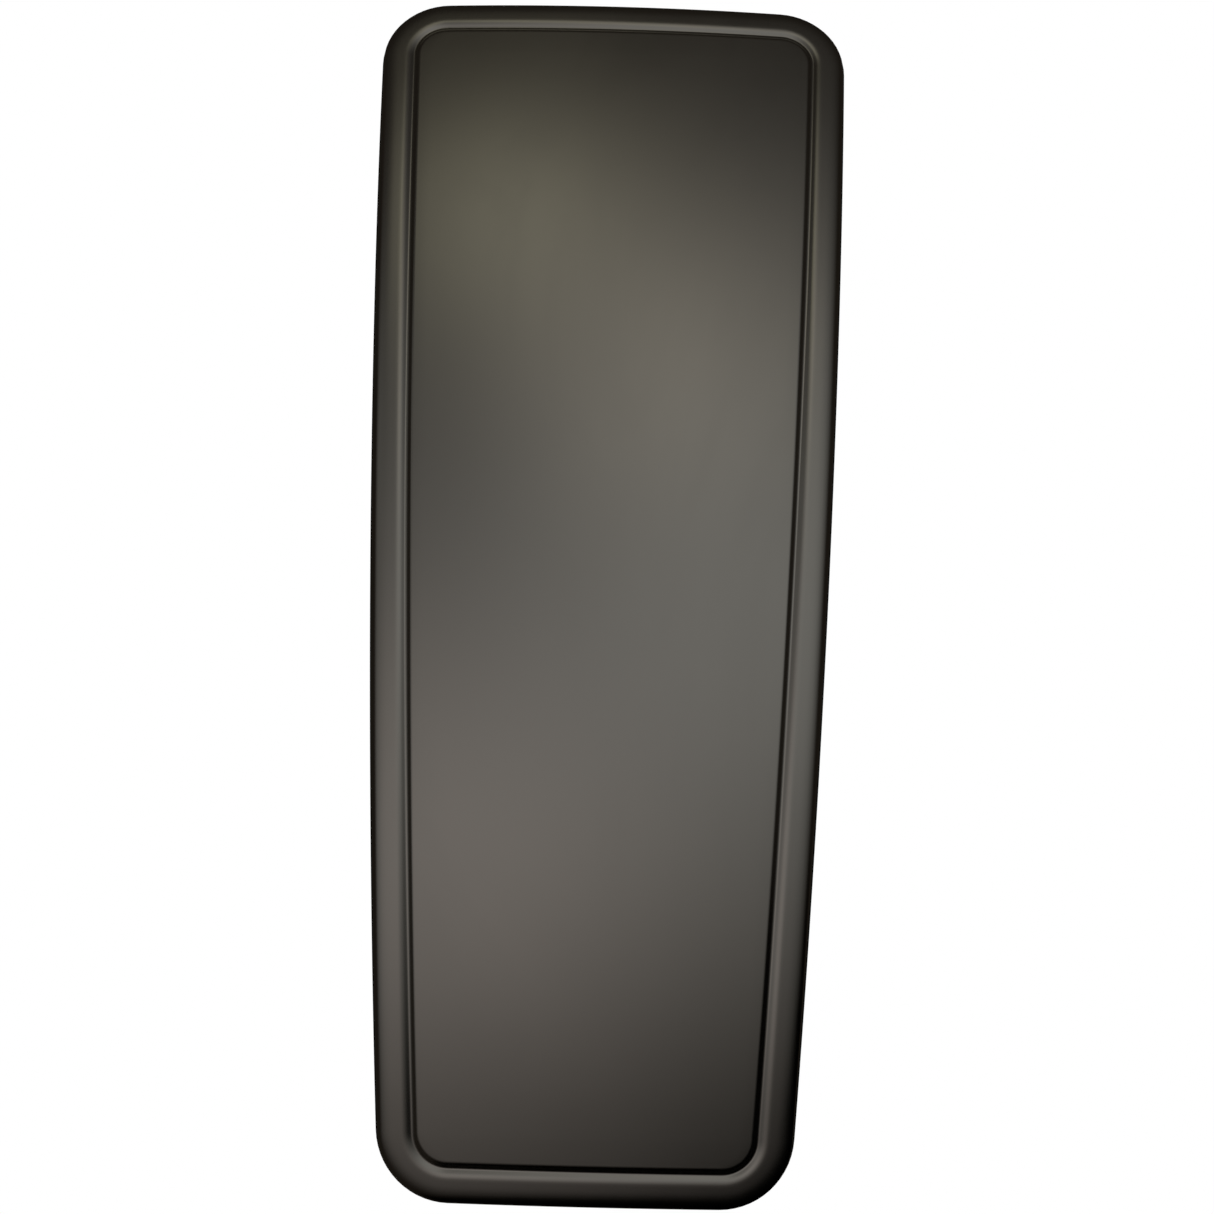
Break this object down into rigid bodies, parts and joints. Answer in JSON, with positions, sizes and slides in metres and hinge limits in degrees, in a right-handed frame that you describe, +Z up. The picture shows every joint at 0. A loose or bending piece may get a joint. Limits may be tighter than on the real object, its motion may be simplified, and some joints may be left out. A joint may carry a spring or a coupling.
{
  "type": "convex security mirror",
  "caption": "Tall tapered convex mirror head with a satin dark metal face, on a wall bracket that pans and tilts and locks with a hand knob.",
  "frame": {"origin": "centre of the wall plate's back face, on the wall", "axes": "+Z up along the face's length, +Y into the wall, so the face looks along -Y; +X to the right seen from the front"},
  "size_m": [0.2474, 0.242, 0.6124],
  "materials": {
    "face_metal": "satin, dark bronze-grey anodised",
    "edge_rubber": "matt black",
    "pan_plastic": "fine textured black moulding",
    "foam": "closed-cell foam",
    "bracket_paint": "black powder coat, fine texture",
    "zinc_steel": "bright zinc plate",
    "standoff_metal": "plain machined",
    "nylon": "natural nylon",
    "knob_plastic": "fine textured black"
  },
  "bodies": {
    "wall_bracket": {"wall_plate": "bracket_paint", "pan_bolt": "zinc_steel", "pan_nut": "zinc_steel", "pan_washers": "zinc_steel"},
    "arm": {"arm_tube": "bracket_paint", "pan_barrel": "bracket_paint", "tilt_barrel": "bracket_paint", "pan_bushes": "nylon", "tilt_bushes": "nylon"},
    "head": {"mirror_face": "face_metal", "edge_trim": "edge_rubber", "standoffs": "standoff_metal", "foam_pads": "foam", "back_pan": "pan_plastic", "pan_screws": "zinc_steel", "backing_plate": "zinc_steel", "plate_nuts": "zinc_steel", "yoke": "bracket_paint", "yoke_bolts": "zinc_steel", "yoke_washers": "zinc_steel", "tilt_nut": "zinc_steel", "tilt_washer": "zinc_steel"},
    "knob": {"tilt_knob": "knob_plastic", "knob_cap": "knob_plastic", "tilt_stud": "zinc_steel"}
  },
  "joints": [
    {"name": "pan", "type": "hinge", "parent": "wall_bracket", "child": "arm", "pos_m": [0, -0.028, 0], "axis": [0, 0, 1], "range_deg": [-35, 35]},
    {"name": "tilt", "type": "hinge", "parent": "arm", "child": "head", "pos_m": [0, -0.188, 0], "axis": [1, 0, 0], "range_deg": [-10, 25]},
    {"name": "knob_turn", "type": "hinge", "parent": "head", "child": "knob", "pos_m": [0, -0.188, 0], "axis": [1, 0, 0], "range_deg": [0, 360]}
  ]
}
